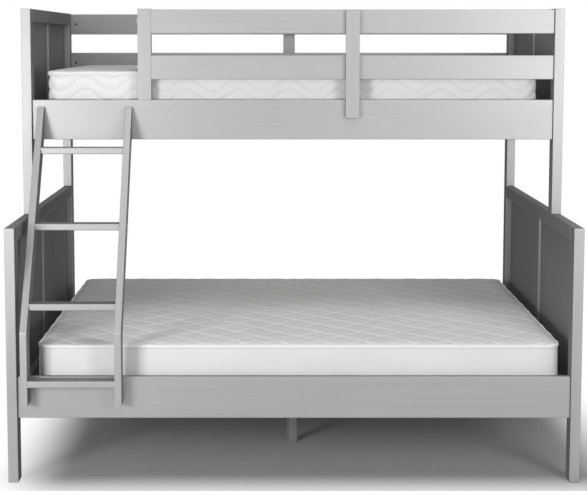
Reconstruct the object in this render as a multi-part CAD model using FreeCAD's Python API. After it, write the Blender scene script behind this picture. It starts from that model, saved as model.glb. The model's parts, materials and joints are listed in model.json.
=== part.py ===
import FreeCAD, Part
import math
import os

# Bunk bed: a narrow upper bunk standing on the end frames of a wide lower bed, with a ladder
# hung on the front rails of both. Millimetres. X runs along the bed, Y from the ladder side to
# the back and Z up. The origin is on the floor, under the middle of the whole piece.

# Overall sizes
bed_length = 2040.0
lower_depth = 1456.0
upper_depth = 1060.0
lower_post_height = 916.0
upper_post_height = 776.0
post_thick = 36.0
post_depth = 64.0
edge_round = 2.0

# End frames: two posts, two rails and a middle stile round a pair of thin panels
top_rail_height = 50.0
bottom_rail_height = 90.0
stile_width = 52.0
stile_thick = 21.0
panel_thick = 6.0
panel_inset = 6.0
groove_depth = 8.0
panel_play = 0.15
panel_edge_gap = 1.0

# Side rails
side_rail_height = 150.0
side_rail_thick = 22.0
side_rail_setback = 10.0
lower_rail_lift = 234.0
upper_rail_lift = 284.0

# Slats and the ledgers that carry them
slat_count = 15
slat_width = 70.0
slat_thick = 18.0
slat_drop = 86.0
slat_end_gap = 20.0
slat_play = 2.0
ledger_width = 30.0
ledger_height = 30.0
ledger_end_gap = 40.0

# Centre legs under the middle slat of the lower bed
centre_leg_side = 31.0
centre_leg_spread = 440.0
centre_leg_turn = 27.0
hanger_bolt_dia = 8.0
hanger_bolt_in_leg = 40.0
hanger_bolt_in_slat = 14.0

# Guard rails of the upper bunk
guard_board_height = 90.0
guard_board_thick = 22.0
guard_top_drop = 3.0
guard_gap_step = 5.0
entry_gap = 400.0
entry_post_width = 51.0
entry_post_depth = 36.0
tongue_clearance = 2.0
mid_post_width = 52.0
mid_post_thick = 21.0
mid_post_drop = 3.0
mid_post_lap = 69.0

# Ladder
ladder_gap = 21.0
ladder_width = 356.0
stringer_thick = 25.0
stringer_depth = 60.0
ladder_foot_rise = 58.0
ladder_bend_rise = 169.0
ladder_top_drop = 27.0
ladder_tip = 12.0
bend_round = 12.0
rung_count = 4
rung_thick = 24.0
first_rung_drop = 3.0
top_rung_drop = 24.0
rung_inset = 1.0
rung_back_gap = 5.0
rung_housing = 6.0
rung_round = 3.0

# Studs in the rails that the ladder hangs on, and their slots in the stringers
stud_neck_dia = 8.0
stud_neck_length = 5.0
stud_head_dia = 16.0
stud_head_length = 4.0
stud_shank_dia = 6.0
stud_shank_length = 16.0
lower_stud_rise = 46.0
upper_stud_drop = 38.0
moving_play = 0.3

# Bolts with barrel nuts, dowels, stacking pins and screws
bolt_dia = 6.0
bolt_head_dia = 15.0
bolt_head_height = 2.5
bolt_socket = 4.0
bolt_socket_depth = 1.5
bolt_tip = 4.0
rail_bolt_spacing = 80.0
nut_dia = 10.0
nut_length = 16.0
nut_inset = 24.0
nut_slot_width = 1.4
nut_slot_depth = 1.2
dowel_dia = 8.0
dowel_length = 40.0
top_dowel_spacing = 24.0
bottom_dowel_spacing = 50.0
stile_dowel_spacing = 26.0
pin_dia = 10.0
pin_length = 80.0
screw_dia = 4.0
screw_head_dia = 8.0
screw_head_height = 2.5
screw_bite = 16.0
screw_pair_spacing = 26.0
ledger_screw_count = 6
fixed_play = 0.1

# Mattresses
mattress_end_gap = 44.0
lower_mattress_gap = 16.0
upper_mattress_gap = 4.0
mattress_thick = 196.0
lower_mattress_shift = 18.0
mattress_corner = 70.0
tape_proud = 3.0
tape_height = 10.0
shoulder_height = 20.0
shoulder_width = 62.0
foot_inset = 16.0
border_draw = 8.0
border_lift = 36.0
quilt_pitch = 108.0
quilt_width = 18.0
quilt_depth = 4.0

# Places worked out from the sizes above
half_length = bed_length / 2
inner_half = half_length - post_thick
ladder_reach = stringer_depth - side_rail_setback
mid_post_reach = mid_post_thick - side_rail_setback
total_depth = ladder_reach + lower_depth + mid_post_reach
lower_front = ladder_reach - total_depth / 2
back = lower_front + lower_depth
upper_front = back - upper_depth
total_height = lower_post_height + upper_post_height
lower_rail_bottom = lower_rail_lift
lower_rail_top = lower_rail_bottom + side_rail_height
upper_rail_bottom = lower_post_height + upper_rail_lift
upper_rail_top = upper_rail_bottom + side_rail_height
guard_top = total_height - guard_top_drop
guard_gaps = guard_top - upper_rail_top - 2 * guard_board_height
guard_low_bottom = upper_rail_top + (guard_gaps - guard_gap_step) / 2
guard_high_bottom = guard_top - guard_board_height
guard_mid_bottom = upper_rail_top - mid_post_lap
entry_left = entry_gap - inner_half
entry_right = entry_left + entry_post_width
rung_depth = stringer_depth - rung_inset - rung_back_gap
first_rung_top = lower_rail_top - first_rung_drop
top_rung_top = upper_rail_bottom - top_rung_drop
rung_pitch = (top_rung_top - first_rung_top) / (rung_count - 1)
mattress_length = 2 * (inner_half - mattress_end_gap)
lower_mattress_width = lower_depth - 2 * (side_rail_setback + side_rail_thick + lower_mattress_gap)
upper_mattress_width = upper_depth - 2 * (side_rail_setback + entry_post_depth + upper_mattress_gap)

solids = {}
cutters = {}


def vector(x, y, z):
    return FreeCAD.Vector(x, y, z)


def box(x, y, z):
    size = [b - a for a, b in (x, y, z)]
    return Part.makeBox(*size, vector(x[0], y[0], z[0]))


def add(node, *shapes):
    solids.setdefault(node, []).extend(shapes)


def cut_from(nodes, cutter):
    for node in nodes:
        cutters.setdefault(node, []).append(cutter)


def board(node, x, y, z, radius=edge_round):
    """A piece of timber with eased edges."""
    shape = box(x, y, z)
    add(node, shape.makeFillet(radius, shape.Edges))


def rod(start, direction, length, diameter):
    return Part.makeCylinder(diameter / 2, length, start, direction)


def bore(nodes, start, direction, length, diameter, play=fixed_play):
    """A round hole, wider than its rod by the play on each side."""
    cut_from(nodes, rod(start, direction, length, diameter + 2 * play))


def inward(sign, near, far):
    """The X range of a piece at one end of the bed, by distances from the end's outer face."""
    ends = (sign * (half_length - near), sign * (half_length - far))
    return min(ends), max(ends)


def dowel(node, drilled, middle, direction):
    """A wooden dowel, half in each of the two pieces it joins."""
    start = middle - direction * (dowel_length / 2)
    add(node, rod(start, direction, dowel_length, dowel_dia))
    bore(drilled, start, direction, dowel_length, dowel_dia)


def screw(node, drilled, head, direction, through):
    """A countersunk screw: its head is flush with the face it is driven from."""
    length = through + screw_bite
    cone = Part.makeCone(screw_head_dia / 2, screw_dia / 2, screw_head_height, head, direction)
    add(node, cone.fuse(rod(head, direction, length, screw_dia)))
    wide = screw_head_dia / 2 + fixed_play
    narrow = screw_dia / 2 + fixed_play
    cut_from(drilled, Part.makeCone(wide, narrow, screw_head_height, head, direction))
    bore(drilled, head, direction, length, screw_dia)


def bolt(bolt_node, nut_node, drilled, seat, direction, through, nut_face, nut_direction):
    """A socket bolt through one piece into a barrel nut set in the end of the next."""
    head = rod(seat - direction * bolt_head_height, direction, bolt_head_height, bolt_head_dia)
    length = through + nut_inset + nut_dia / 2 + bolt_tip
    hexagon = [math.radians(60 * i) for i in range(7)]
    socket_at = seat - direction * bolt_head_height
    socket = Part.Face(Part.makePolygon([
        socket_at + vector(0, math.cos(a), math.sin(a)) * (bolt_socket / math.sqrt(3)) for a in hexagon
    ])).extrude(direction * bolt_socket_depth)
    add(bolt_node, head.cut(socket).fuse(rod(seat, direction, length, bolt_dia)))
    bore(drilled, seat, direction, length, bolt_dia)
    nut_at = seat + direction * (through + nut_inset)
    nut_at.y = nut_face
    nut = rod(nut_at, nut_direction, nut_length, nut_dia)
    thread = rod(seat, direction, length, bolt_dia + 2 * fixed_play)
    slot = box((nut_at.x - nut_dia, nut_at.x + nut_dia),
               (nut_face - nut_slot_depth, nut_face + nut_slot_depth),
               (nut_at.z - nut_slot_width / 2, nut_at.z + nut_slot_width / 2))
    add(nut_node, nut.cut(thread).cut(slot))
    bore(drilled, nut_at, nut_direction, nut_length, nut_dia)


def end_frame(bed, side, sign, front, bottom, top, rail_bottom, post_word):
    """One end of a bed: posts, rails, stile and panels, joined by dowels."""
    name = f"{bed}_{side}_"
    posts = {name + "front_" + post_word: (front, front + post_depth),
             name + "back_" + post_word: (back - post_depth, back)}
    across = inward(sign, 0, post_thick)
    for node, depth in posts.items():
        board(node, across, depth, (bottom, top))
    between = (front + post_depth, back - post_depth)
    rail_top = rail_bottom + bottom_rail_height
    top_rail_bottom = top - top_rail_height
    rails = {name + "top_rail": (top_rail_bottom, top), name + "bottom_rail": (rail_bottom, rail_top)}
    for node, height in rails.items():
        board(node, across, between, height)
    middle = (front + back) / 2
    stile = name + "stile"
    stile_sides = (middle - stile_width / 2, middle + stile_width / 2)
    board(stile, inward(sign, 0, stile_thick), stile_sides, (rail_top, top_rail_bottom))
    framing = [*posts, *rails, stile]
    groove = inward(sign, panel_inset - panel_play, panel_inset + panel_thick + panel_play)
    sheet = inward(sign, panel_inset, panel_inset + panel_thick)
    foot, head = rail_top - groove_depth, top_rail_bottom + groove_depth
    for near, far in ((between[0], stile_sides[0]), (stile_sides[1], between[1])):
        near, far = near - groove_depth, far + groove_depth
        cut_from(framing, box(groove, (near, far), (foot, head)))
        add(bed + "_end_panels", box(sheet, (near + panel_edge_gap, far - panel_edge_gap),
                                     (foot, head - panel_edge_gap)))
    dowels = bed + "_frame_dowels"
    post_middle = sign * (half_length - post_thick / 2)
    stile_middle = sign * (half_length - stile_thick / 2)
    spacings = (top_dowel_spacing, bottom_dowel_spacing)
    for (rail, height), spacing in zip(rails.items(), spacings):
        for post, y in zip(posts, between):
            for step in (-spacing / 2, spacing / 2):
                at = vector(post_middle, y, sum(height) / 2 + step)
                dowel(dowels, [post, rail], at, vector(0, 1, 0))
    for rail, z in zip(rails, (top_rail_bottom, rail_top)):
        for step in (-stile_dowel_spacing / 2, stile_dowel_spacing / 2):
            dowel(dowels, [stile, rail], vector(stile_middle, middle + step, z), vector(0, 0, 1))


def bolt_ends(bed, node, posts, y, inner_face, heights):
    """Bolts through the end posts into a rail or board that runs between them."""
    nut_direction = vector(0, 1 if inner_face < y else -1, 0)
    for sign, post in posts.items():
        for z in heights:
            bolt(bed + "_frame_bolts", bed + "_barrel_nuts", [post, node], vector(sign * half_length, y, z),
                 vector(-sign, 0, 0), post_thick, inner_face, nut_direction)


def bed_deck(bed, front, rail_bottom, post_word):
    """Side rails, ledgers and slats between the two end frames of a bed."""
    slat_top = rail_bottom + side_rail_height - slat_drop
    ledger_top = slat_top - slat_thick
    span = (-inner_half, inner_half)
    front_rail = (front + side_rail_setback, front + side_rail_setback + side_rail_thick)
    back_rail = (front + back - front_rail[1], front + back - front_rail[0])
    pitch = (2 * inner_half - 2 * slat_end_gap - slat_width) / (slat_count - 1)
    centres = [slat_end_gap + slat_width / 2 - inner_half + i * pitch for i in range(slat_count)]
    ledger_span = (ledger_end_gap - inner_half, inner_half - ledger_end_gap)
    last_gap = slat_count - 2
    screw_gaps = [round(i * last_gap / (ledger_screw_count - 1)) for i in range(ledger_screw_count)]
    middle_height = rail_bottom + side_rail_height / 2
    bolt_heights = (middle_height - rail_bolt_spacing / 2, middle_height + rail_bolt_spacing / 2)
    screws = bed + "_wood_screws"
    ledgers = bed + "_slat_ledgers"
    slats = bed + "_slats"
    for side, rail, face, inside in (("front", front_rail, front_rail[1], 1),
                                     ("back", back_rail, back_rail[0], -1)):
        node = f"{bed}_{side}_side_rail"
        board(node, span, rail, (rail_bottom, rail_bottom + side_rail_height))
        posts = {-1: f"{bed}_left_{side}_{post_word}", 1: f"{bed}_right_{side}_{post_word}"}
        bolt_ends(bed, node, posts, sum(rail) / 2, face, bolt_heights)
        edge = face + inside * ledger_width
        depth = (min(face, edge), max(face, edge))
        board(ledgers, ledger_span, depth, (ledger_top - ledger_height, ledger_top))
        for i in screw_gaps:
            at = vector(centres[i] + pitch / 2, edge, ledger_top - ledger_height / 2)
            screw(screws, [node, ledgers], at, vector(0, -inside, 0), ledger_width)
        for x in centres:
            at = vector(x, sum(depth) / 2, slat_top)
            screw(screws, [slats, ledgers], at, vector(0, 0, -1), slat_thick)
    for x in centres:
        board(slats, (x - slat_width / 2, x + slat_width / 2),
              (front_rail[1] + slat_play, back_rail[0] - slat_play), (ledger_top, slat_top))
    return slat_top


def centre_legs(slat_underside):
    """Square legs screwed up into the middle slat, each standing turned a little on its bolt."""
    middle = (lower_front + back) / 2
    half = centre_leg_side / 2
    for y in (middle - centre_leg_spread / 2, middle + centre_leg_spread / 2):
        leg = box((-half, half), (y - half, y + half), (0, slat_underside))
        leg = leg.makeFillet(edge_round, leg.Edges)
        leg.rotate(vector(0, y, 0), vector(0, 0, 1), centre_leg_turn)
        add("centre_support_legs", leg)
        start = vector(0, y, slat_underside - hanger_bolt_in_leg)
        length = hanger_bolt_in_leg + hanger_bolt_in_slat
        add("leg_hanger_bolts", rod(start, vector(0, 0, 1), length, hanger_bolt_dia))
        bore(["centre_support_legs", "lower_slats"], start, vector(0, 0, 1), length, hanger_bolt_dia)


def stacking_pins():
    """Pins that stand up out of the lower end frames into the feet of the upper posts."""
    depth = pin_length / 2
    up = vector(0, 0, 1)
    for side, sign in (("left", -1), ("right", 1)):
        x = sign * (half_length - post_thick / 2)
        places = (("front", upper_front + post_depth / 2, f"lower_{side}_top_rail"),
                  ("back", back - post_depth / 2, f"lower_{side}_back_leg"))
        for end, y, seat in places:
            start = vector(x, y, lower_post_height - depth)
            post = f"upper_{side}_{end}_post"
            add("stacking_pins", rod(start, up, pin_length, pin_dia))
            bore([seat], start, up, pin_length, pin_dia)
            bore([post], start, up, pin_length + moving_play, pin_dia, moving_play)


def guard(side, first_x, last_x, left_post, outer, outward, mid_x):
    """Two guard boards with a flat post across the middle of their outer faces."""
    inner = outer - outward * guard_board_thick
    depth = (min(outer, inner), max(outer, inner))
    middle = sum(depth) / 2
    post_face = outer + outward * mid_post_thick
    mid_post = f"{side}_guard_mid_post"
    board(mid_post, (mid_x - mid_post_width / 2, mid_x + mid_post_width / 2),
          (min(outer, post_face), max(outer, post_face)), (guard_mid_bottom, guard_top - mid_post_drop))
    places = [("lower_board", guard_low_bottom), ("top_board", guard_high_bottom)]
    screw_rows = [(f"upper_{side}_side_rail", upper_rail_top - mid_post_lap / 2, side_rail_thick)]
    for word, bottom in places:
        node = f"{side}_guard_{word}"
        z = bottom + guard_board_height / 2
        board(node, (first_x, last_x), depth, (bottom, bottom + guard_board_height))
        nut_direction = vector(0, outward, 0)
        ends = [(f"upper_right_{side}_post", vector(half_length, middle, z), vector(-1, 0, 0), post_thick)]
        if left_post == "guard_entry_post":
            ends.append((left_post, vector(entry_left, middle, z), vector(1, 0, 0), entry_post_width))
        else:
            ends.append((left_post, vector(-half_length, middle, z), vector(1, 0, 0), post_thick))
        for post, seat, direction, through in ends:
            bolt("upper_frame_bolts", "upper_barrel_nuts", [post, node], seat, direction, through,
                 inner, nut_direction)
        screw_rows.append((node, z, guard_board_thick))
    for node, z, through in screw_rows:
        face = outer - outward * through
        for step in (-screw_pair_spacing / 2, screw_pair_spacing / 2):
            screw("upper_wood_screws", [node, mid_post], vector(mid_x + step, face, z),
                  vector(0, outward, 0), through)


def entry_post(slat_top):
    """The post beside the ladder: it stands on the rail and laps down behind it as a tongue."""
    node = "guard_entry_post"
    front = upper_front + side_rail_setback
    cheek = front + side_rail_thick
    rear = front + entry_post_depth
    foot = slat_top + tongue_clearance
    board(node, (entry_left, entry_right), (front, rear), (foot, total_height))
    cut_from([node], box((entry_left, entry_right), (front, cheek), (foot, upper_rail_top)))
    middle = (entry_left + entry_right) / 2
    for step in (-screw_pair_spacing / 2, screw_pair_spacing / 2):
        screw("upper_wood_screws", [node, "upper_front_side_rail"],
              vector(middle + step, rear, (foot + upper_rail_top) / 2), vector(0, -1, 0), rear - cheek)


def hanging_stud(node, rail, stringer, x, rail_face, z, slot_bottom):
    """A headed stud in a rail's face, and the slot in a stringer's back that drops over it."""
    face = vector(x, rail_face, z)
    outward = vector(0, -1, 0)
    shank = rod(face, vector(0, 1, 0), stud_shank_length, stud_shank_dia)
    neck = rod(face, outward, stud_neck_length, stud_neck_dia)
    head = rod(face + outward * stud_neck_length, outward, stud_head_length, stud_head_dia)
    add(node, shank.fuse([neck, head]).removeSplitter())
    bore([rail], face, vector(0, 1, 0), stud_shank_length, stud_shank_dia)
    deep = stud_neck_length + stud_head_length + moving_play
    for near, far, dia in ((0, deep, stud_neck_dia), (stud_neck_length - moving_play, deep, stud_head_dia)):
        radius = dia / 2 + moving_play
        depth = (rail_face - far, rail_face - near)
        cut_from([stringer], box((x - radius, x + radius), depth, (slot_bottom, z)))
        bore([stringer], vector(x, depth[0], z), vector(0, 1, 0), far - near, dia, moving_play)


def ladder():
    """Two stringers, each of two lengths joined at a bend, with level rungs housed in them."""
    lower_face = lower_front + side_rail_setback
    upper_face = upper_front + side_rail_setback
    nose = lower_face - stringer_depth
    foot = lower_rail_bottom + ladder_foot_rise
    bend = lower_rail_top + ladder_bend_rise
    top = upper_rail_top - ladder_top_drop
    slope = (upper_face - ladder_tip - nose) / (top - bend)
    level_depth = stringer_depth * math.sqrt(1 + slope ** 2)
    rest_face = lower_face - moving_play
    back_bend = bend - (nose + level_depth - rest_face) / slope
    back_meets_rail = bend + (upper_face - nose - level_depth) / slope
    outline = [(nose, foot), (rest_face, foot), (rest_face, back_bend), (upper_face, back_meets_rail),
               (upper_face, top), (upper_face - ladder_tip, top), (nose, bend)]
    along = vector(0, rest_face - nose, back_bend - bend)
    ends = [vector(0, nose, bend) - along, vector(0, rest_face, back_bend) + along]
    floor = [vector(0, p.y, foot - stringer_depth) for p in reversed(ends)]
    below_bend = Part.Face(Part.makePolygon(ends + floor + ends[:1]))
    left = ladder_gap - inner_half
    right = left + ladder_width
    stringers = {"ladder_left_stringer": (left, left + stringer_thick),
                 "ladder_right_stringer": (right - stringer_thick, right)}
    for node, across in stringers.items():
        corners = [vector(across[0], y, z) for y, z in outline]
        side = Part.Face(Part.makePolygon(corners + corners[:1]))
        bar = side.extrude(vector(stringer_thick, 0, 0))
        fold = [e for e in bar.Edges
                if all(abs(v.Y - nose) < edge_round and abs(v.Z - bend) < edge_round for v in e.Vertexes)]
        bar = bar.makeFillet(bend_round, fold)
        rims = [e for e in bar.Edges if abs(e.Vertexes[0].X - e.Vertexes[-1].X) < edge_round]
        bar = bar.makeFillet(edge_round, rims)
        foot_length = below_bend.extrude(vector(3 * stringer_thick, 0, 0))
        foot_length.translate(vector(across[0] - stringer_thick, 0, 0))
        add(node, bar.common(foot_length), bar.cut(foot_length))
        x = sum(across) / 2
        hanging_stud("lower_ladder_studs", "lower_front_side_rail", node, x, lower_face,
                     foot + lower_stud_rise, foot - edge_round)
        hanging_stud("upper_ladder_studs", "upper_front_side_rail", node, x, upper_face,
                     top - upper_stud_drop, back_meets_rail - stringer_depth)
    housed = (left + stringer_thick - rung_housing, right - stringer_thick + rung_housing)
    for i in range(rung_count):
        node = f"ladder_rung_{i + 1}"
        rung_top = first_rung_top + i * rung_pitch
        front = nose + max(0, slope * (rung_top - bend)) + rung_inset
        depth = (front, front + rung_depth)
        height = (rung_top - rung_thick, rung_top)
        board(node, housed, depth, height, rung_round)
        pocket = box((housed[0] - fixed_play, housed[1] + fixed_play),
                     (depth[0] - fixed_play, depth[1] + fixed_play),
                     (height[0] - fixed_play, height[1] + fixed_play))
        cut_from(stringers, pocket)
        for stringer, x, sign in (("ladder_left_stringer", left, 1), ("ladder_right_stringer", right, -1)):
            for step in (-screw_pair_spacing / 2, screw_pair_spacing / 2):
                screw("ladder_screws", [stringer, node], vector(x, sum(depth) / 2 + step, sum(height) / 2),
                      vector(sign, 0, 0), stringer_thick)


def rounded_outline(length, width, inset, z):
    """A level outline with round corners, at an inset from the mattress's plan."""
    a, b = length / 2 - inset, width / 2 - inset
    r = max(mattress_corner - inset, foot_inset)
    corners = [(1, 1), (-1, 1), (-1, -1), (1, -1)]
    edges = []
    ends = []
    for i, (sx, sy) in enumerate(corners):
        centre = vector(sx * (a - r), sy * (b - r), z)
        angles = [math.radians(90 * i + turn) for turn in (0, 45, 90)]
        points = [centre + vector(math.cos(t), math.sin(t), 0) * r for t in angles]
        ends.append((points[0], points[2]))
        edges.append(Part.Arc(*points).toShape())
    lines = [Part.LineSegment(ends[i][1], ends[(i + 1) % 4][0]).toShape() for i in range(4)]
    return Part.Wire([e for pair in zip(edges, lines) for e in pair])


def mattress(node, width, x, y, bottom):
    """A quilted mattress: taped edges, a border drawn in between them and a sewn diamond top."""
    tape = tape_height / 2
    top_tape = mattress_thick - shoulder_height
    bottom_tape = shoulder_height / 2
    profile = [(foot_inset, 0), (tape_proud, bottom_tape - tape), (0, bottom_tape),
               (tape_proud, bottom_tape + tape), (border_draw, border_lift),
               (border_draw, top_tape - border_lift), (tape_proud, top_tape - tape),
               (0, top_tape), (tape_proud, top_tape + tape)]
    rise = shoulder_height - tape
    for turn in (30, 60, 90):
        t = math.radians(turn)
        profile.append((tape_proud + (shoulder_width - tape_proud) * (1 - math.cos(t)),
                        top_tape + tape + rise * math.sin(t)))
    wires = [rounded_outline(mattress_length, width, inset, z) for inset, z in profile]
    body = Part.makeLoft(wires, True, True)
    half_span = (mattress_length + width) / 2 / math.sqrt(2)
    count = int(half_span / quilt_pitch)
    for turn in (45, -45):
        grooves = []
        for i in range(-count, count + 1):
            section = [vector(-half_span, i * quilt_pitch + dy, mattress_thick + dz)
                       for dy, dz in ((-quilt_width / 2, 0), (quilt_width / 2, 0), (0, -quilt_depth))]
            groove = Part.Face(Part.makePolygon(section + section[:1])).extrude(vector(2 * half_span, 0, 0))
            groove.rotate(vector(0, 0, 0), vector(0, 0, 1), turn)
            grooves.append(groove)
        body = body.cut(grooves)
    body.translate(vector(x, y, bottom))
    add(node, *body.Solids)


def build():
    for side, sign in (("left", -1), ("right", 1)):
        end_frame("lower", side, sign, lower_front, 0, lower_post_height, lower_rail_bottom, "leg")
        end_frame("upper", side, sign, upper_front, lower_post_height, total_height,
                  upper_rail_bottom, "post")
    lower_slat_top = bed_deck("lower", lower_front, lower_rail_bottom, "leg")
    upper_slat_top = bed_deck("upper", upper_front, upper_rail_bottom, "post")
    centre_legs(lower_slat_top - slat_thick)
    stacking_pins()
    entry_post(upper_slat_top)
    guard("front", entry_right, inner_half, "guard_entry_post", upper_front + side_rail_setback, -1,
          (entry_right + inner_half) / 2)
    guard("back", -inner_half, inner_half, "upper_left_back_post", back - side_rail_setback, 1, 0)
    ladder()
    lower_middle = (lower_front + back) / 2
    upper_middle = (upper_front + back) / 2
    mattress("lower_mattress", lower_mattress_width, lower_mattress_shift, lower_middle, lower_slat_top)
    mattress("upper_mattress", upper_mattress_width, 0, upper_middle, upper_slat_top)


def export():
    os.makedirs("parts", exist_ok=True)
    for node, shapes in solids.items():
        finished = []
        for shape in shapes:
            tools = [c for c in cutters.get(node, []) if c.BoundBox.intersect(shape.BoundBox)]
            finished.append(shape.cut(tools) if tools else shape)
        pieces = [solid for shape in finished for solid in shape.Solids]
        result = pieces[0] if len(pieces) == 1 else Part.makeCompound(pieces)
        result.exportStep(f"parts/{node}.step")


build()
export()
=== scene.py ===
import json
import math

import bmesh
import bpy
import numpy as np
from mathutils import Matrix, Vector, noise


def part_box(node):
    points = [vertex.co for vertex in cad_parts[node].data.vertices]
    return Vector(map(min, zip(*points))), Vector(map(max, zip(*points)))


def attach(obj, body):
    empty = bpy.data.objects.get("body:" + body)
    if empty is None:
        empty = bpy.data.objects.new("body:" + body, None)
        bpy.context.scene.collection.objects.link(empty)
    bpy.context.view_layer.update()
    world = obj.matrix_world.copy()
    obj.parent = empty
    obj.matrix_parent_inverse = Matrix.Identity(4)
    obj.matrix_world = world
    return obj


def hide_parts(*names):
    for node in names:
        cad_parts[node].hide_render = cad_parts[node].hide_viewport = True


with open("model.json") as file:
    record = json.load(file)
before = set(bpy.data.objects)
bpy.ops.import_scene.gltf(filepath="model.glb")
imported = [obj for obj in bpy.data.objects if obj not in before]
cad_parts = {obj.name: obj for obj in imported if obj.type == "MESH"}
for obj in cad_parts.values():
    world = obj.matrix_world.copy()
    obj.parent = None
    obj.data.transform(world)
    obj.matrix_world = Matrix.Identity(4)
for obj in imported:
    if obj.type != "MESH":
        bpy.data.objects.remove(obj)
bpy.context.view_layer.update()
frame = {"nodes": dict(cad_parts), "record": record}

# Looks of a grey painted bunk bed with two quilted mattresses. Metres, in the same frame as the
# solids: X along the bed, Y from the ladder side to the back, Z up.

scene = bpy.context.scene
scene.view_settings.view_transform = "Standard"

# Wood grain: few changes to the metre along a board, and many across it
GRAIN_ALONG, GRAIN_ACROSS = 1.5, 95.0
RINGS_ALONG, RINGS_ACROSS = 1.4, 38.0
LADDER_TURN = math.radians(30.0)
UPRIGHT = 2

# Linear colours
PAINT_DARK, PAINT_PALE = (0.368, 0.365, 0.367, 1), (0.416, 0.412, 0.415, 1)
PINE_DARK, PINE_PALE = (0.52, 0.36, 0.20, 1), (0.74, 0.59, 0.40, 1)
PINE_FINE, PINE_KNOT = (0.62, 0.46, 0.28, 1), (0.22, 0.11, 0.05, 1)
ZINC_DULL, ZINC_BRIGHT = (0.50, 0.51, 0.53, 1), (0.66, 0.66, 0.65, 1)
BLACKENED_DULL, BLACKENED_BRIGHT = (0.035, 0.035, 0.038, 1), (0.075, 0.074, 0.072, 1)

# The middle range of a noise texture, and how far each seed moves the noise of a shape
NOISE_LOW, NOISE_HIGH = 0.3, 0.7
NOISE_STEPS = (17.3, 5.1, 9.7)

# Diamond quilting: the distance between seams, and how much closer they lie across the bed
QUILT_PITCH, QUILT_DEEP = 0.108, 1.088
QUILT_HALF = QUILT_PITCH / 2
DIAGONAL = math.sqrt(0.5)

# Wavy seams on a border: length, swing, spacing, start, and where they turn the corner
WAVE_LENGTH, WAVE_SWING, WAVE_STEP = 0.194, 0.026, 0.047
WAVE_SHIFT, WAVE_DROP = 0.012, 0.040
WAVE_END, WAVE_CORNER = 0.925, 1.415

# The seams in the cloth's colour and bump: distances at which a line is full or gone. The highlight
# distances are for a highlight painted along the seams
CREASE_WIDTH, WAVE_CREASE_WIDTH = 0.007, 0.006
SEAM_HIGHLIGHT_FULL, SEAM_HIGHLIGHT_GONE = 0.0030, 0.0120
MIDWAY_HIGHLIGHT_FULL, MIDWAY_HIGHLIGHT_GONE = 0.0025, 0.0110
THREAD_FULL, THREAD_GONE = 0.0004, 0.0010
STITCH_LENGTH, STITCH_GONE, STITCH_FULL = 0.004, 0.0003, 0.0007
MIDWAY_CREASE, MIDWAY_HIGHLIGHT, SECOND_HIGHLIGHT = 0.5, 0.32, 0.4

# Heights from the top tape between which the border's cloth ends and the top's begins
BORDER_FULL, BORDER_GONE = -0.012, -0.008
TOP_GONE, TOP_FULL = 0.003, 0.007

# Mattress covers: corners in plan, the border's rings, the shoulder above the top tape
CORNER_ROUND, LEAST_ROUND, CORNER_STEPS = 0.055, 0.016, 6
BASE_RINGS = [(0.012, 0.000), (0.004, 0.004)]
BORDER_FLUSH, BORDER_DRAWN = 0.002, 0.003
DRAWN_ABOVE_BASE, FLUSH_ABOVE_BASE = 0.024, 0.044
DRAWN_BELOW_TAPE, FLUSH_BELOW_TAPE = 0.014, 0.034
SHOULDER_INSET, SHOULDER_WIDTH = 0.009, 0.040
SHOULDER_LIFT, SHOULDER_RISE = 0.004, 0.008
SHOULDER_TURNS = [20, 40, 60, 75, 90]
RING_SPACING, VOXEL, BASE_FLAT = 0.04, 0.0130, 0.0004

# What is sewn down, and how far the filling may push the cloth out between
SEWN_BASE, SEWN_TAPE, SEWN_QUILT, SEWN_WAVE = 0.012, 0.006, 0.007, 0.006
FILL_FRAMES, FILL_LIMIT, QUICK_WIDTH = 20, 0.0040, 0.030

# Depth and half width of the sewn channels, the height of the crown, and how uneven the cloth is
CHANNEL_DEPTH, CHANNEL_WIDTH = 0.0028, 0.0070
MIDWAY_DEPTH, MIDWAY_WIDTH = 0.0012, 0.007
WAVE_DEPTH, WAVE_WIDTH = 0.0030, 0.008
CROWN = 0.004
PUCKER_WIDTH, PUCKER_DRAW, PUCKER_DROP = 0.020, 0.0012, 0.0015
UNEVEN_TOP, UNEVEN_EDGE = 0.0015, 0.0008
UNEVEN_TOP_SCALE, UNEVEN_EDGE_SCALE = 6.0, 5.0

# Where the top begins above its tape, and where the edge is drawn in: heights, and a band in plan
TOP_START, TOP_BLEND = 0.001, 0.008
EDGE_START, EDGE_BLEND, EDGE_BAND = 0.05, 0.06, 0.075
WAVE_BELOW_TAPE, WAVE_ABOVE_BASE = 0.008, 0.02

# Edge tapes: heights, path and section
TAPE_LOW, TAPE_BELOW_TOP = 0.012, 0.011
TAPE_INSET, TAPE_SETBACK, TAPE_SPACING = 0.0035, 0.0010, 0.006
TAPE_THICK, TAPE_TALL, TAPE_SIDES = 0.0040, 0.0082, 10

# The stage: a floor that is shaded under the bed and turns white round it, and the world's light
FLOOR_REACH, FLOOR_LEVEL = 12, -0.0005
SHADE_MIDDLE, SHADE_HALF_LENGTH, SHADE_HALF_DEPTH, SHADE_FADE = 0.11, 0.91, 0.62, 0.32
AMBIENT_LIGHT = 0.19

# Soft boxes: name, place, target, width, height and watts
LAMPS = [
    ("key_left", (-2.50, -3.70, 1.16), (-0.2, -0.4, 0.9), 1.1, 0.7, 77),
    ("fill_right", (2.10, -3.45, 1.55), (0.4, -0.4, 1.1), 1.0, 0.8, 38),
    ("fill_high", (0.8, -3.60, 2.60), (0.0, -0.4, 0.7), 1.6, 0.6, 6),
    ("fill_above", (0.3, -1.35, 3.35), (0.0, -0.5, 0.5), 2.6, 0.8, 21),
    ("fill_back", (0.0, 3.60, 2.10), (0.0, 0.3, 1.0), 1.2, 1.2, 15),
]

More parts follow.
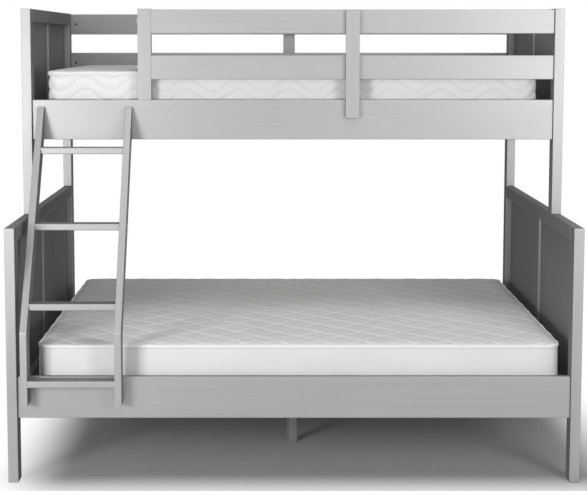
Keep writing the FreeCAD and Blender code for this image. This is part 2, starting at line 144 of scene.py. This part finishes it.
# The camera, fitted to the posts, rails and feet
LENS, SENSOR = 83.734, 36.0
SHIFT_X, SHIFT_Y = 0.0383, -0.13
CAMERA_PLACE = (-0.0816, -5.4592, 1.5768)
CAMERA_TILT = 5.428

# Materials


class Nodes:
    """Builds the node tree of one material, or of the world."""

    def __init__(self, owner, output="OutputMaterial"):
        owner.use_nodes = True
        self.owner = owner
        self.tree = owner.node_tree
        self.tree.nodes.clear()
        self.output = self.add(output)

    def add(self, kind, inputs=None, **settings):
        made = self.tree.nodes.new("ShaderNode" + kind)
        for key, value in settings.items():
            setattr(made, key, value)
        for key, value in (inputs or {}).items():
            if isinstance(value, bpy.types.NodeSocket):
                self.tree.links.new(value, made.inputs[key])
            else:
                made.inputs[key].default_value = value
        return made

    def place(self):
        return self.add("TexCoord").outputs["Object"]

    def stretched(self, vector, scale, turn=0.0):
        if turn:
            vector = self.add("Mapping", {"Vector": vector, "Rotation": (turn, 0, 0)}).outputs[0]
        return self.add("Mapping", {"Vector": vector, "Scale": scale}).outputs[0]

    def noise(self, vector, scale, detail=4.0, roughness=0.55, distortion=0.0):
        inputs = {"Vector": vector, "Scale": scale, "Detail": detail, "Roughness": roughness,
                  "Distortion": distortion}
        return self.add("TexNoise", inputs).outputs[0]

    def stripes(self, vector, scale, distortion, direction):
        inputs = {"Vector": vector, "Scale": scale, "Distortion": distortion}
        return self.add("TexWave", inputs, bands_direction=direction).outputs["Fac"]

    def math(self, operation, a, b=0.0):
        return self.add("Math", {0: a, 1: b}, operation=operation).outputs[0]

    def plus(self, a, b):
        return self.math("ADD", a, b)

    def minus(self, a, b):
        return self.math("SUBTRACT", a, b)

    def times(self, a, b):
        return self.math("MULTIPLY", a, b)

    def most(self, a, b):
        return self.math("MAXIMUM", a, b)

    def least(self, a, b):
        return self.math("MINIMUM", a, b)

    def weighed(self, a, share_a, b, share_b):
        return self.plus(self.times(a, share_a), self.times(b, share_b))

    def gap(self, value, pitch):
        """The distance to the nearest multiple of the pitch."""
        return self.math("PINGPONG", value, pitch / 2)

    def ramp(self, value, low, high, start=0.0, end=1.0, smooth=False):
        """Goes from start to end as the value goes from low to high."""
        kind = "SMOOTHSTEP" if smooth else "LINEAR"
        inputs = {"Value": value, "From Min": low, "From Max": high, "To Min": start, "To Max": end}
        return self.add("MapRange", inputs, interpolation_type=kind).outputs[0]

    def fade(self, value, full, gone, smooth=False):
        """Goes from 1 to 0 as the value goes from full to gone."""
        return self.ramp(value, full, gone, 1.0, 0.0, smooth)

    def spread(self, value, start=0.0, end=1.0):
        """Goes from start to end over the middle range of a noise."""
        return self.ramp(value, NOISE_LOW, NOISE_HIGH, start, end)

    def mix(self, factor, a, b):
        return self.add("Mix", {0: factor, 6: a, 7: b}, data_type="RGBA").outputs[2]

    def bump(self, height, strength, distance, normal=None):
        inputs = {"Height": height, "Strength": strength, "Distance": distance}
        if normal:
            inputs["Normal"] = normal
        return self.add("Bump", inputs).outputs[0]

    def show(self, shader):
        self.tree.links.new(shader.outputs[0], self.output.inputs[0])
        return self.owner

    def finish(self, **inputs):
        """Shows a principled surface, whose inputs are named with underscores for spaces."""
        named = {key.replace("_", " "): value for key, value in inputs.items()}
        return self.show(self.add("BsdfPrincipled", named))


def new_material(name):
    return Nodes(bpy.data.materials.new(name))


def grey(value, warm=0.0):
    """A grey that leans to red where warm is above 0, and to blue where it is below."""
    return value * (1 + warm), value, value * (1 - warm), 1.0


def paint(name, scale, turn=0.0):
    """Satin grey paint over wood: the grain shows through as fine lines along the board.

    It is partly metallic, so it is bright from the front and dark at a slant.
    """
    n = new_material(name)
    place = n.place()
    along = n.stretched(place, scale, turn)
    grain = n.noise(along, scale=1.0, detail=6.0, roughness=0.62)
    fine = n.noise(along, scale=4.5, detail=3.0, roughness=0.6)
    cloud = n.noise(place, scale=2.6, detail=3.0)
    tone = n.weighed(grain, 0.6, cloud, 0.4)
    colour = n.mix(n.spread(tone), PAINT_DARK, PAINT_PALE)
    dust = n.noise(place, scale=420.0, detail=2.0, roughness=0.5)
    colour = n.mix(n.ramp(dust, 0.62, 0.72, end=0.10), colour, grey(0.62))
    # Painted shade: the paint's colour is darkened towards near black where ambient occlusion finds
    # nearby surfaces, in joints and recesses
    painted_crevice_shade = n.add("AmbientOcclusion", {"Distance": 0.012}, samples=4).outputs["AO"]
    colour = n.mix(n.ramp(painted_crevice_shade, 0.25, 0.75, start=0.45, end=0.0), colour, grey(0.18))
    height = n.weighed(grain, 0.7, fine, 0.5)
    return n.finish(
        Base_Color=colour,
        Metallic=0.64,
        Roughness=n.spread(grain, 0.42, 0.50),
        Specular_IOR_Level=0.0,
        Specular_Tint=grey(0.0),
        Normal=n.bump(height, strength=0.16, distance=0.0006),
    )


def pine(name, scale):
    """Planed pine: pale with darker growth lines and a few knots."""
    n = new_material(name)
    place = n.place()
    along = n.stretched(place, scale)
    rings = n.noise(along, scale=1.0, detail=5.0, roughness=0.6, distortion=0.6)
    fine = n.noise(along, scale=6.0, detail=3.0, roughness=0.6)
    lines = n.ramp(n.gap(n.times(rings, 7.0), 1.0), 0.05, 0.45)
    colour = n.mix(lines, PINE_DARK, PINE_PALE)
    colour = n.mix(n.ramp(fine, 0.35, 0.7, end=0.35), colour, PINE_FINE)
    spots = n.stretched(place, [s ** 0.5 for s in scale])
    knot = n.add("TexVoronoi", {"Vector": spots, "Scale": 1.0}).outputs[0]
    colour = n.mix(n.ramp(knot, 0.06, 0.14, start=0.75, end=0.0), colour, PINE_KNOT)
    return n.finish(
        Base_Color=colour,
        Roughness=n.spread(fine, 0.55, 0.72),
        Normal=n.bump(n.plus(lines, fine), strength=0.2, distance=0.0005),
    )


def zinc(name, dull, bright):
    """Plated steel with turning marks and a faint spangle."""
    n = new_material(name)
    place = n.place()
    spangle = n.add("TexVoronoi", {"Vector": place, "Scale": 260.0}).outputs["Distance"]
    marks = n.noise(place, scale=900.0, detail=3.0, roughness=0.6)
    return n.finish(
        Base_Color=n.mix(n.ramp(spangle, 0.1, 0.8), dull, bright),
        Metallic=1.0,
        Roughness=n.spread(marks, 0.26, 0.42),
        Normal=n.bump(marks, strength=0.15, distance=0.0002),
    )


def quilt_creases(n, gaps):
    """1 in the diamond seams, less midway between them, and 0 elsewhere."""
    start = QUILT_HALF - CREASE_WIDTH
    seam = n.fade(n.least(*gaps), 0.0, CREASE_WIDTH, smooth=True)
    midway = n.ramp(n.most(*gaps), start, QUILT_HALF, end=MIDWAY_CREASE, smooth=True)
    return n.most(seam, midway)


def quilt_painted_highlight(n, gaps):
    """How far the cloth is painted paler along the seams, a painted highlight. The seams of one
    direction catch more light, so they get more of it.
    """
    start, full = QUILT_HALF - MIDWAY_HIGHLIGHT_GONE, QUILT_HALF - MIDWAY_HIGHLIGHT_FULL
    pale = []
    for gap in gaps:
        seam = n.fade(gap, SEAM_HIGHLIGHT_FULL, SEAM_HIGHLIGHT_GONE, smooth=True)
        midway = n.ramp(gap, start, full, end=MIDWAY_HIGHLIGHT, smooth=True)
        pale.append(n.most(seam, midway))
    return n.most(pale[0], n.times(pale[1], SECOND_HIGHLIGHT))


def quilt_stitches(n, gaps, runs):
    """1 on the dashes of thread along the diamond seams."""
    dashes = []
    for gap, run in zip(gaps, runs):
        on_line = n.fade(gap, THREAD_FULL, THREAD_GONE)
        dash = n.ramp(n.gap(run, STITCH_LENGTH), STITCH_GONE, STITCH_FULL)
        dashes.append(n.times(on_line, dash))
    return n.most(*dashes)


def border_seams(n, x, y, z):
    """1 on the parallel wavy seams of a mattress border, and 0 away from them."""
    on_end = n.math("GREATER_THAN", n.math("ABSOLUTE", x), WAVE_END)
    end_run = n.times(n.math("SIGN", x), n.plus(y, WAVE_CORNER))
    side_run = n.times(x, n.minus(1.0, on_end))
    run = n.plus(n.times(end_run, on_end), side_run)
    turn = n.times(n.plus(run, WAVE_SHIFT), 2 * math.pi / WAVE_LENGTH)
    swing = n.times(n.math("COSINE", turn), WAVE_SWING)
    gap = n.gap(n.minus(n.plus(z, WAVE_DROP), swing), WAVE_STEP)
    on_border = n.fade(z, BORDER_FULL, BORDER_GONE)
    return n.times(n.fade(gap, 0.0, WAVE_CREASE_WIDTH, smooth=True), on_border)


def ticking(name, centre, top_tape, wavy, tone):
    """White knitted cover: a fine weave, creases along the quilting seams with dashes of pale
    thread, and a highlight painted along the seams.
    """
    n = new_material(name)
    place = n.place()
    to_middle = (-centre.x, -centre.y, -top_tape)
    local = n.add("Mapping", {"Vector": place, "Location": to_middle}).outputs[0]
    x, y, z = n.add("SeparateXYZ", {0: local}).outputs
    deep = n.times(y, QUILT_DEEP)
    first = n.times(n.plus(x, deep), DIAGONAL)
    second = n.times(n.minus(deep, x), DIAGONAL)
    gaps = [n.gap(v, QUILT_PITCH) for v in (first, second)]
    top = n.ramp(z, TOP_GONE, TOP_FULL)
    crease = n.times(quilt_creases(n, gaps), top)
    painted_highlight = n.times(quilt_painted_highlight(n, gaps), top)
    stitch = n.times(quilt_stitches(n, gaps, (second, first)), top)
    waves = [n.stripes(place, 150.0, 1.0, direction) for direction in ("X", "Y", "Z")]
    weave = n.times(n.plus(waves[0], n.plus(waves[1], waves[2])), 0.33)
    slub = n.noise(place, scale=90.0, detail=4.0, roughness=0.6)
    cloud = n.noise(place, scale=6.0, detail=3.0)
    colour = n.mix(n.spread(cloud), grey(tone - 0.02, -0.006), grey(tone + 0.03, -0.005))
    colour = n.mix(n.ramp(slub, 0.35, 0.75, end=0.25), colour, grey(0.74))
    # Painted highlight: the cloth is painted near white along the quilting seams, most along one
    # direction
    colour = n.mix(n.times(painted_highlight, 0.95), colour, grey(0.98))
    colour = n.mix(n.times(stitch, 0.8), colour, grey(0.95))
    if wavy:
        border = border_seams(n, x, y, z)
        # Painted shade: the cloth is painted darker along the wavy border seams
        colour = n.mix(n.times(border, 0.10), colour, grey(0.45))
        crease = n.most(crease, n.times(border, 0.7))
    cloth = n.weighed(weave, 0.5, slub, 0.7)
    normal = n.bump(cloth, strength=0.2, distance=0.0007)
    normal = n.bump(n.minus(1.0, crease), strength=0.6, distance=0.0022, normal=normal)
    return n.finish(
        Base_Color=colour,
        Roughness=n.spread(slub, 0.80, 0.95),
        Specular_IOR_Level=0.2,
        Sheen_Weight=0.12,
        Sheen_Roughness=0.5,
        Normal=n.bump(stitch, strength=0.5, distance=0.0008, normal=normal),
    )


def tape_cloth(name):
    """Woven edge binding with a slanting twill."""
    n = new_material(name)
    place = n.place()
    rib = n.stripes(place, 105.0, 0.6, "DIAGONAL")
    slub = n.noise(place, scale=160.0, detail=3.0, roughness=0.6)
    return n.finish(
        Base_Color=n.mix(rib, grey(0.84, -0.006), grey(0.93, -0.004)),
        Roughness=n.spread(slub, 0.70, 0.90),
        Specular_IOR_Level=0.25,
        Sheen_Weight=0.1,
        Normal=n.bump(n.plus(rib, slub), strength=0.25, distance=0.0006),
    )


# Paint, pine and steel go on the solids themselves
paints = [
    paint("grey_paint_along", (GRAIN_ALONG, GRAIN_ACROSS, GRAIN_ACROSS)),
    paint("grey_paint_deep", (GRAIN_ACROSS, GRAIN_ALONG, GRAIN_ACROSS)),
    paint("grey_paint_upright", (GRAIN_ACROSS, GRAIN_ACROSS, GRAIN_ALONG)),
]
ladder_paint = paint("grey_paint_ladder", (GRAIN_ACROSS, GRAIN_ACROSS, GRAIN_ALONG), LADDER_TURN)
pine_along = pine("bare_pine_along", (RINGS_ALONG, RINGS_ACROSS, RINGS_ACROSS))
pine_deep = pine("bare_pine_deep", (RINGS_ACROSS, RINGS_ALONG, RINGS_ACROSS))
steel = zinc("zinc_steel_plated", ZINC_DULL, ZINC_BRIGHT)
dark_steel = zinc("zinc_steel_darkened", BLACKENED_DULL, BLACKENED_BRIGHT)
slots = {s["node"]: s["material_slot"] for s in frame["record"]["subparts"]}


def solid_finish(node):
    """The material of one solid. The paint's grain follows its longest side."""
    if node.endswith("barrel_nuts"):
        return dark_steel
    if slots[node] == "zinc_steel":
        return steel
    if slots[node] == "bare_pine":
        return pine_deep if node.endswith(("slats", "dowels")) else pine_along
    if node.endswith("stringer"):
        return ladder_paint
    if node.endswith("panels"):
        return paints[UPRIGHT]
    low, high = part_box(node)
    size = high - low
    longest = max(range(3), key=lambda i: size[i])
    return paints[longest]


for node, solid in frame["nodes"].items():
    solid.data.materials.clear()
    solid.data.materials.append(solid_finish(node))

# Helpers for meshes


def smooth_noise(points, scale, seed):
    """A soft random value between -1 and 1 at each point."""
    offset = Vector([seed * step for step in NOISE_STEPS])
    return np.array([noise.noise(Vector(p) * scale + offset) for p in points])


def outline(length, width, inset, spacing):
    """Points round a rectangle with round corners, anticlockwise, about the origin."""
    a, b = length / 2 - inset, width / 2 - inset
    r = max(CORNER_ROUND - inset, LEAST_ROUND)
    steps = max(CORNER_STEPS, int(CORNER_ROUND * math.pi / 2 / spacing))
    points = []
    for i, (sx, sy) in enumerate(((1, 1), (-1, 1), (-1, -1), (1, -1))):
        centre = np.array([sx * (a - r), sy * (b - r)])
        turns = np.radians(90 * i) + np.linspace(0, math.pi / 2, steps + 1)
        points += [centre + r * np.array([math.cos(t), math.sin(t)]) for t in turns]
        run = 2 * ((a, b)[i % 2] - r)
        whole = 2 * ((length, width)[i % 2] / 2 - CORNER_ROUND)
        ahead = np.array([[-1, 0], [0, -1], [1, 0], [0, 1]][i])
        count = max(1, int(whole / spacing))
        points += [points[-1] + ahead * run * k / count for k in range(1, count)]
    return np.array(points)


def band_faces(rings, size, start=0, closed=False):
    """Faces between neighbouring rings of points. Closed joins the last ring to the first."""
    faces = []
    for r in range(rings if closed else rings - 1):
        here = start + r * size
        there = start + (r + 1) % rings * size
        for i in range(size):
            ahead = (i + 1) % size
            faces.append((here + i, here + ahead, there + ahead, there + i))
    return faces


def mesh_object(name, vertices, faces):
    mesh = bpy.data.meshes.new(name)
    mesh.from_pydata([tuple(v) for v in vertices], [], faces)
    mesh.validate()
    made = bpy.data.objects.new(name, mesh)
    scene.collection.objects.link(made)
    return made


def activate(made):
    for other in bpy.context.selected_objects:
        other.select_set(False)
    made.select_set(True)
    bpy.context.view_layer.objects.active = made


def coordinates(mesh):
    flat = np.zeros(len(mesh.vertices) * 3)
    mesh.vertices.foreach_get("co", flat)
    return flat.reshape(-1, 3)


def set_coordinates(mesh, points):
    mesh.vertices.foreach_set("co", np.ascontiguousarray(points).ravel())
    mesh.update()


def dress(made, material):
    """Shades a piece smoothly and gives it its material."""
    made.data.polygons.foreach_set("use_smooth", [True] * len(made.data.polygons))
    made.data.materials.append(material)

# Mattresses


class Sizes:
    """The sizes of one mattress, from the box of its solid.

    The tape is the height of the top tape, and the reach is half of the length and of the width.
    """

    def __init__(self, node):
        self.low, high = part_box(node)
        self.centre = (self.low + high) / 2
        self.length, self.width, self.thick = high - self.low
        self.tape = self.thick - TAPE_BELOW_TOP
        self.reach = np.array([self.length, self.width]) / 2

    def placed(self, points):
        """Points about the middle of the underside, moved to where the mattress lies."""
        return points + np.array([self.centre.x, self.centre.y, self.low.z])


def quilt_gap(points):
    """Each point's distance to the nearest diamond seam, and to the nearest line midway between."""
    x, deep = points[:, 0], points[:, 1] * QUILT_DEEP
    gaps = []
    for v in ((x + deep) * DIAGONAL, (deep - x) * DIAGONAL):
        gaps.append(np.abs(v - np.round(v / QUILT_PITCH) * QUILT_PITCH))
    return np.minimum(*gaps), np.minimum(*[QUILT_HALF - g for g in gaps])


def wave_gap(points, tape):
    """How far each point of the border is from the nearest of its wavy seams."""
    x, y, z = points.T
    run = np.where(np.abs(x) > WAVE_END, np.sign(x) * (y + WAVE_CORNER), x)
    turn = 2 * math.pi * (run + WAVE_SHIFT) / WAVE_LENGTH
    steep = np.sqrt(1 + (WAVE_SWING * 2 * math.pi / WAVE_LENGTH * np.sin(turn)) ** 2)
    level = z - tape + WAVE_DROP - WAVE_SWING * np.cos(turn)
    return np.abs(level - np.round(level / WAVE_STEP) * WAVE_STEP) / steep


def pucker(points):
    """How far an edge is drawn in and down where the diamond seams run out over it."""
    seam, _ = quilt_gap(points)
    return np.exp(-(seam / PUCKER_WIDTH) ** 2)


def cover_rings(sizes):
    """Inset and height of each ring of the cover, from the underside up over the shoulder."""
    tape = sizes.tape
    rings = BASE_RINGS + [
        (BORDER_FLUSH, TAPE_LOW),
        (BORDER_DRAWN, DRAWN_ABOVE_BASE),
        (BORDER_FLUSH, FLUSH_ABOVE_BASE),
        (BORDER_FLUSH, sizes.thick / 2),
        (BORDER_FLUSH, tape - FLUSH_BELOW_TAPE),
        (BORDER_DRAWN, tape - DRAWN_BELOW_TAPE),
        (BORDER_DRAWN, tape),
        (SHOULDER_INSET, tape + SHOULDER_LIFT),
    ]
    for turn in np.radians(SHOULDER_TURNS):
        inset = SHOULDER_INSET + SHOULDER_WIDTH * (1 - math.cos(turn))
        rings.append((inset, tape + SHOULDER_LIFT + SHOULDER_RISE * math.sin(turn)))
    return rings


def plain_cover(name, sizes):
    """A closed cover without seams, in an even mesh."""
    rings = []
    for inset, level in cover_rings(sizes):
        line = outline(sizes.length, sizes.width, inset, RING_SPACING)
        rings.append(np.c_[line, np.full(len(line), level)])
    count = len(rings[0])
    faces = band_faces(len(rings), count)
    faces.append(tuple(reversed(range(count))))
    faces.append(tuple(range((len(rings) - 1) * count, len(rings) * count)))
    made = mesh_object(name, np.concatenate(rings), faces)
    activate(made)
    made.data.remesh_voxel_size = VOXEL
    bpy.ops.object.voxel_remesh()
    return made


def sewn_points(points, sizes, wavy):
    """True where the cloth is held: at the underside, the top tape and the seams."""
    seam, _ = quilt_gap(points)
    height = points[:, 2]
    sewn = (height < SEWN_BASE) | (np.abs(height - sizes.tape) < SEWN_TAPE)
    sewn |= (seam < SEWN_QUILT) & (height > sizes.tape)
    if wavy:
        sewn |= (wave_gap(points, sizes.tape) < SEWN_WAVE) & (height < sizes.tape)
    return sewn


def fill_out(made, sewn):
    """Blows the cover up between its seams with a short cloth simulation."""
    before = coordinates(made.data)
    group = made.vertex_groups.new(name="sewn")
    group.add([int(i) for i in np.nonzero(sewn)[0]], 1.0, "REPLACE")
    cloth = made.modifiers.new("filling", "CLOTH")
    cloth.settings.quality = 4
    cloth.settings.mass = 0.3
    cloth.settings.tension_stiffness = 12
    cloth.settings.compression_stiffness = 12
    cloth.settings.shear_stiffness = 4
    cloth.settings.bending_stiffness = 0.4
    cloth.settings.vertex_group_mass = group.name
    cloth.settings.use_pressure = True
    cloth.settings.uniform_pressure_force = 4.0
    cloth.settings.effector_weights.gravity = 0.0
    cloth.collision_settings.use_collision = False
    cloth.point_cache.frame_start = 1
    cloth.point_cache.frame_end = FILL_FRAMES
    for step in range(1, FILL_FRAMES + 1):
        scene.frame_set(step)
    graph = bpy.context.evaluated_depsgraph_get()
    swollen = made.evaluated_get(graph).to_mesh()
    move = coordinates(swollen) - before
    made.evaluated_get(graph).to_mesh_clear()
    made.modifiers.remove(cloth)
    made.vertex_groups.remove(group)
    scene.frame_set(1)
    reach = np.linalg.norm(move, axis=1)
    move *= np.minimum(1.0, FILL_LIMIT / np.maximum(reach, 1e-9))[:, None]
    set_coordinates(made.data, before + move)


def divide(made):
    """Splits each face in four and smooths them."""
    finer = made.modifiers.new("finer", "SUBSURF")
    finer.levels = 1
    activate(made)
    bpy.ops.object.modifier_apply(modifier=finer.name)


def join_base(made):
    """Makes one face of the flat underside."""
    shape = bmesh.new()
    shape.from_mesh(made.data)
    base = [f for f in shape.faces if max(v.co.z for v in f.verts) < BASE_FLAT]
    bmesh.ops.dissolve_faces(shape, faces=base)
    shape.to_mesh(made.data)
    shape.free()


def sink_quilting(points, sizes, seed):
    """Crowns the top and sinks its seams. Gives how far each point belongs to the top, 0 to 1."""
    seam, midway = quilt_gap(points)
    top = np.clip((points[:, 2] - sizes.tape - TOP_START) / TOP_BLEND, 0, 1)
    sink = CHANNEL_DEPTH * np.exp(-(seam / CHANNEL_WIDTH) ** 2)
    sink += MIDWAY_DEPTH * np.exp(-(midway / MIDWAY_WIDTH) ** 2)
    along, across = (points[:, :2] / sizes.reach).T
    crown = CROWN * (1 - along ** 2) * (1 - across ** 2)
    uneven = UNEVEN_TOP * smooth_noise(points, UNEVEN_TOP_SCALE, seed)
    points[:, 2] += top * (crown - sink + uneven)
    return top


def draw_edges(points, sizes, top, wavy, seed):
    """Draws the border in: unevenly, at the ends of the quilting and along the wavy seams."""
    height = points[:, 2]
    edge = np.clip((height - EDGE_START) / EDGE_BLEND, 0, 1)
    inward = np.sign(points[:, :2]) * (np.abs(points[:, :2]) > sizes.reach - EDGE_BAND)
    uneven = UNEVEN_EDGE * (1 + smooth_noise(points, UNEVEN_EDGE_SCALE, seed + 1))
    draw = edge * (PUCKER_DRAW * pucker(points) + uneven)
    if wavy:
        side = (height < sizes.tape - WAVE_BELOW_TAPE) & (height > WAVE_ABOVE_BASE)
        draw += side * WAVE_DEPTH * np.exp(-(wave_gap(points, sizes.tape) / WAVE_WIDTH) ** 2)
    points[:, :2] -= inward * draw[:, None]
    points[:, 2] -= edge * (1 - top) * PUCKER_DROP * pucker(points)
    points[:, :2] = np.clip(points[:, :2], -sizes.reach, sizes.reach)
    points[:, 2] = np.maximum(points[:, 2], 0.0)


def cover(node, body, sizes, wavy, tone, seed):
    """The quilted cover, in place of the mattress's solid."""
    pad = plain_cover(node + "_cover", sizes)
    fill_out(pad, sewn_points(coordinates(pad.data), sizes, wavy))
    divide(pad)
    join_base(pad)
    points = coordinates(pad.data)
    top = sink_quilting(points, sizes, seed)
    draw_edges(points, sizes, top, wavy, seed)
    set_coordinates(pad.data, sizes.placed(points))
    dress(pad, ticking(node + "_ticking", sizes.centre, sizes.low.z + sizes.tape, wavy, tone))
    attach(pad, body)
    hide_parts(node)


def tape_path(sizes, level, gathered, seed):
    """The middle line of one tape, and the way out at each of its points."""
    line = outline(sizes.length, sizes.width, TAPE_INSET, TAPE_SPACING)
    ahead = np.roll(line, -1, 0) - np.roll(line, 1, 0)
    out = np.c_[ahead[:, 1], -ahead[:, 0]] / np.linalg.norm(ahead, axis=1)[:, None]
    path = np.c_[line, np.full(len(line), level)]
    gather = np.zeros(len(path))
    wander = np.zeros(len(path))
    if gathered:
        gather = pucker(path)
        wander = UNEVEN_EDGE * smooth_noise(path, UNEVEN_EDGE_SCALE, seed + 1)
    path[:, :2] -= out * (PUCKER_DRAW * gather + TAPE_SETBACK + wander)[:, None]
    path[:, 2] -= PUCKER_DROP * gather
    return path, out


def edge_tapes(node, body, sizes, seed):
    """The two tapes that bind the cover's edges. The top one is gathered by the quilting."""
    turns = np.linspace(0, 2 * math.pi, TAPE_SIDES + 1)[:-1]
    section = [(TAPE_THICK * math.cos(t), TAPE_TALL * math.sin(t)) for t in turns]
    points, faces = [], []
    for level, gathered in ((TAPE_LOW, False), (sizes.tape, True)):
        path, out = tape_path(sizes, level, gathered, seed)
        faces += band_faces(len(section), len(path), sum(len(p) for p in points), closed=True)
        for away, up in section:
            points.append(np.c_[path[:, :2] + out * away, path[:, 2] + up])
    tape = mesh_object(node + "_tapes", sizes.placed(np.concatenate(points)), faces)
    dress(tape, tape_cloth(node + "_tape_cloth"))
    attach(tape, body)


def mattress(node, body, wavy, tone, seed):
    """A quilted mattress with taped edges."""
    sizes = Sizes(node)
    cover(node, body, sizes, wavy, tone, seed)
    edge_tapes(node, body, sizes, seed)


mattress("lower_mattress", "lower_pad", wavy=False, tone=0.80, seed=1)
mattress("upper_mattress", "upper_pad", wavy=True, tone=0.88, seed=2)

# Stage, lights and camera


def seen_rays(n):
    """1 for rays that should meet white: straight to the camera, mirrored or let through."""
    path = n.add("LightPath").outputs
    return n.most(path["Is Camera Ray"], n.most(path["Is Glossy Ray"], path["Is Transmission Ray"]))


def beyond_shade(n, place):
    """The distance on the floor from the shaded area under the bed."""
    split = n.add("SeparateXYZ", {0: place}).outputs
    along = n.math("ABSOLUTE", n.minus(split[0], SHADE_MIDDLE))
    across = n.math("ABSOLUTE", split[1])
    past_end = n.most(n.minus(along, SHADE_HALF_LENGTH), 0.0)
    past_side = n.most(n.minus(across, SHADE_HALF_DEPTH), 0.0)
    return n.math("SQRT", n.plus(n.math("POWER", past_end, 2.0), n.math("POWER", past_side, 2.0)))


def studio_floor():
    """A pale floor that holds the bed's shadow and turns white away from it."""
    n = new_material("studio_floor")
    place = n.place()
    away = n.ramp(beyond_shade(n, place), 0.0, SHADE_FADE, smooth=True)
    mottle = n.noise(place, scale=30.0, detail=4.0, roughness=0.6)
    colour = n.mix(n.spread(mottle), grey(0.49, -0.040), grey(0.53, -0.040))
    inputs = {"Base Color": colour, "Roughness": 0.7, "Specular IOR Level": 0.1}
    shaded = n.add("BsdfPrincipled", inputs).outputs[0]
    white = n.add("Emission", {"Color": grey(1.0), "Strength": 1.0}).outputs[0]
    factor = n.times(away, seen_rays(n))
    return n.show(n.add("MixShader", {0: factor, 1: shaded, 2: white}))


def studio_world():
    """A white world to look at, which lights the object only a little."""
    n = Nodes(bpy.data.worlds.new("studio"), "OutputWorld")
    ambient = n.add("Background", {"Color": grey(1.0), "Strength": AMBIENT_LIGHT}).outputs[0]
    white = n.add("Background", {"Color": grey(1.0), "Strength": 1.0}).outputs[0]
    return n.show(n.add("MixShader", {0: seen_rays(n), 1: ambient, 2: white}))


def lamp(name, place, target, width, height, power):
    """A soft box that faces its target."""
    light = bpy.data.lights.new(name, "AREA")
    light.shape = "RECTANGLE"
    light.size = width
    light.size_y = height
    light.energy = power
    made = bpy.data.objects.new(name, light)
    made.location = place
    made.rotation_euler = (Vector(target) - Vector(place)).to_track_quat("-Z", "Y").to_euler()
    scene.collection.objects.link(made)


corners = ((-1, -1), (1, -1), (1, 1), (-1, 1))
floor_points = [(FLOOR_REACH * x, FLOOR_REACH * y, FLOOR_LEVEL) for x, y in corners]
floor = mesh_object("studio_floor", floor_points, [(0, 1, 2, 3)])
floor.data.materials.append(studio_floor())
scene.world = studio_world()
for settings in LAMPS:
    lamp(*settings)

view = bpy.data.cameras.new("photograph_view")
view.lens = LENS
view.sensor_width = SENSOR
view.sensor_fit = "HORIZONTAL"
view.shift_x = SHIFT_X
view.shift_y = SHIFT_Y
view.clip_end = 100.0
camera = bpy.data.objects.new("photograph_view", view)
camera.location = CAMERA_PLACE
camera.rotation_euler = (math.radians(90 - CAMERA_TILT), 0, 0)
scene.collection.objects.link(camera)
scene.camera = camera
